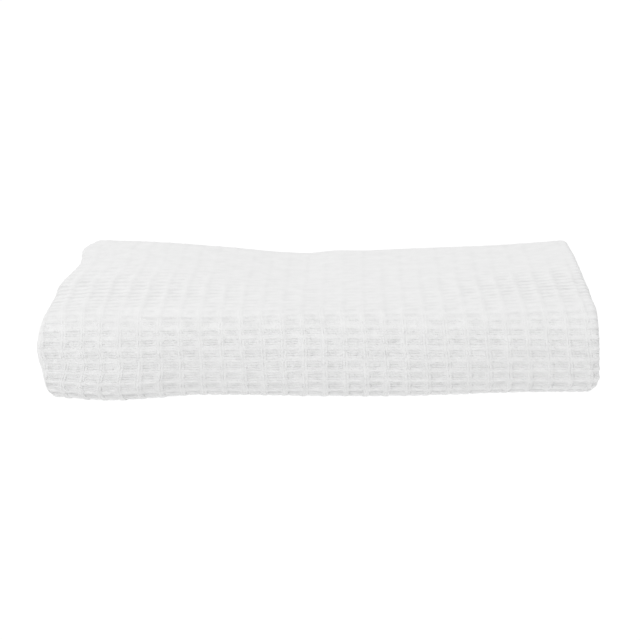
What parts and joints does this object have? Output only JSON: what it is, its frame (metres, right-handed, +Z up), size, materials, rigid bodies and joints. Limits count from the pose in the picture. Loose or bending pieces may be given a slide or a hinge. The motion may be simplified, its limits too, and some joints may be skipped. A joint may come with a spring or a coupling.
{
  "type": "folded sauna towel",
  "caption": "A white waffle-weave sauna towel, its long sides turned in to the middle and the strip folded flat into a shelf bundle with the last fold at the front.",
  "frame": {"origin": "middle of the bundle's footprint, on the surface it lies on", "axes": "+Z up, +X along the front fold to the right, +Y from the front fold to the back"},
  "size_m": [0.3584, 0.186, 0.0625],
  "materials": {
    "waffle_cotton": "matt white waffle weave cotton"
  },
  "bodies": {
    "root": {"towel": "waffle_cotton"}
  },
  "joints": []
}
